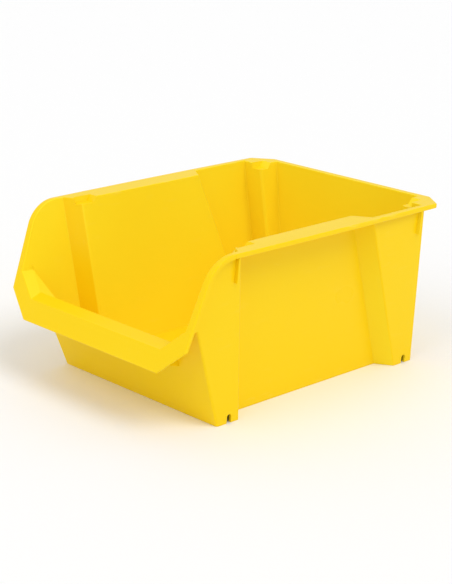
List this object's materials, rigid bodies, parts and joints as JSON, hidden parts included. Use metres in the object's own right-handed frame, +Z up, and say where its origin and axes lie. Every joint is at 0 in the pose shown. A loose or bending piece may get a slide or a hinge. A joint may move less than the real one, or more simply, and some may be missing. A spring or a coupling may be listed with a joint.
{
  "type": "stackable storage bin",
  "caption": "Open-fronted stackable storage bin with a sloping front, a pouring lip, recessed sides and stacking seats in a flat rim.",
  "frame": {"origin": "centre of the bounding box at the level of the feet", "axes": "+X to the bin's right, +Y to the rear wall, +Z up; the open front faces -Y"},
  "size_m": [0.3024, 0.3968, 0.19],
  "materials": {
    "body": "satin, injection-moulded polypropylene"
  },
  "bodies": {
    "root": {"floor_panel": "body", "front_bend_left": "body", "front_bend_right": "body", "front_column_left": "body", "front_column_right": "body", "front_facet_left": "body", "front_facet_right": "body", "front_foot_left": "body", "front_foot_right": "body", "front_gusset_left": "body", "front_gusset_right": "body", "front_seat_left": "body", "front_seat_right": "body", "front_slope_left": "body", "front_slope_right": "body", "front_wall": "body", "lip_corner_shelf_left": "body", "lip_corner_shelf_right": "body", "lip_corner_skirt_left": "body", "lip_corner_skirt_right": "body", "lip_rib_left": "body", "lip_rib_right": "body", "lip_shelf": "body", "lip_skirt": "body", "lip_throat": "body", "rear_column_left": "body", "rear_column_right": "body", "rear_corner_wall_left": "body", "rear_corner_wall_right": "body", "rear_facet_left": "body", "rear_facet_right": "body", "rear_foot_left": "body", "rear_foot_right": "body", "rear_gusset_left": "body", "rear_gusset_right": "body", "rear_rim": "body", "rear_rim_corner_left": "body", "rear_rim_corner_right": "body", "rear_seat_left": "body", "rear_seat_right": "body", "rear_step_wall_left": "body", "rear_step_wall_right": "body", "rear_wall": "body", "recess_panel_left": "body", "recess_panel_right": "body", "side_rim_left": "body", "side_rim_right": "body"}
  },
  "joints": []
}
